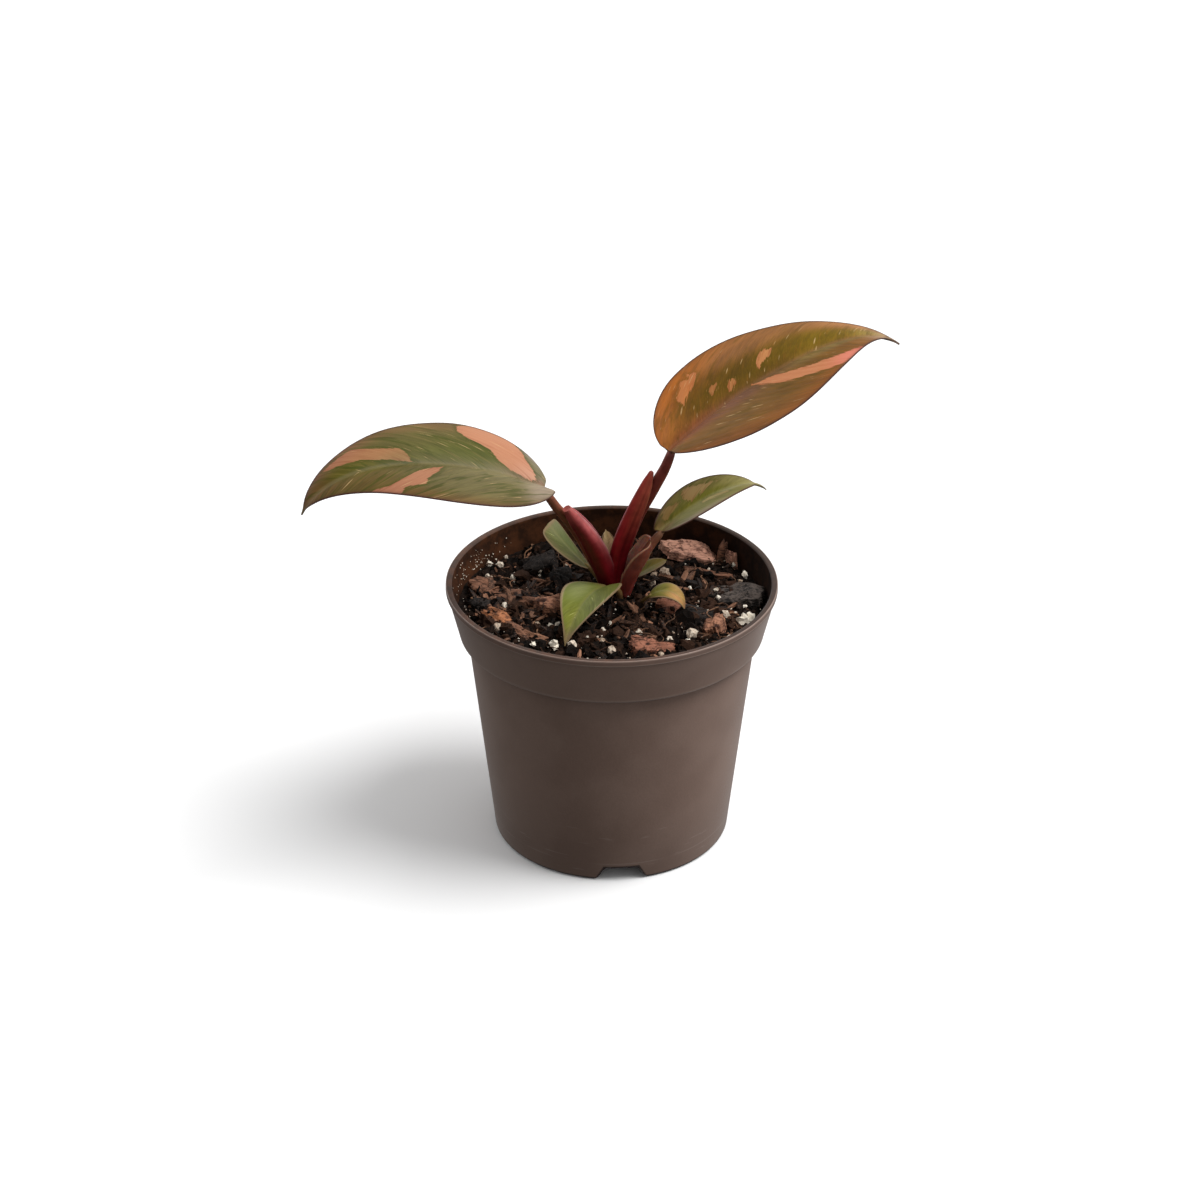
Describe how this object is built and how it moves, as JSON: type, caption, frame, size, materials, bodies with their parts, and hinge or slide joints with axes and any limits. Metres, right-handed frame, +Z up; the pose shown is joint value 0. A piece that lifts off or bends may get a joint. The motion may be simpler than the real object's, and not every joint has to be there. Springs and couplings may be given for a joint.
{
  "type": "potted orange princess philodendron",
  "caption": "Young orange-variegated philodendron with arching leaves and crimson leaf sheaths, rooted in a round tapered plastic nursery pot filled with a bark potting mix.",
  "frame": {"origin": "middle of the pot's underside, at the level that it stands on", "axes": "+Z up, -Y towards the viewer of the picture, +X to the right, where the large leaf rises"},
  "size_m": [0.1803, 0.102, 0.1521],
  "materials": {
    "pot_plastic": "satin moulded plastic, brown",
    "potting_mix": "loose peat and bark fines",
    "stalk": "smooth plant skin",
    "blade_green": "waxy leaf, olive with salmon patches",
    "blade_orange": "waxy leaf, orange-brown to olive",
    "blade_young": "waxy young leaf, yellow-green",
    "sheath": "glossy crimson sheath",
    "scale": "dry pale scale",
    "bark": "rough bark, red-brown",
    "bark_dark": "rough bark, near black"
  },
  "bodies": {
    "root": {"nursery_pot": "pot_plastic", "potting_mix": "potting_mix", "stem_crown": "stalk", "left_leaf_stalk": "stalk", "right_leaf_stalk": "stalk", "small_leaf_stalk": "stalk", "left_leaf_blade": "blade_green", "right_leaf_blade": "blade_orange", "small_leaf_blade": "blade_young", "tall_sheath": "sheath", "short_sheath": "sheath", "young_leaf_back": "blade_young", "young_leaf_front": "blade_young", "young_leaf_right": "blade_young", "young_leaf_hidden": "blade_young", "scale_leaf": "scale", "bark_tan_back": "bark", "bark_dark_right": "bark_dark", "bark_red_front": "bark", "bark_red_right": "bark", "bark_red_middle": "bark", "bark_red_left": "bark", "bark_slab_outer": "bark", "bark_slab_inner": "bark", "bark_orange_left": "bark", "bark_strip_left": "bark_dark", "bark_lump_back": "bark_dark", "bark_lump_inner": "bark_dark", "bark_flat_front": "bark_dark", "bark_dark_left": "bark_dark", "twig_right": "bark", "bark_sliver_tall": "bark", "bark_sliver_short": "bark"}
  },
  "joints": []
}
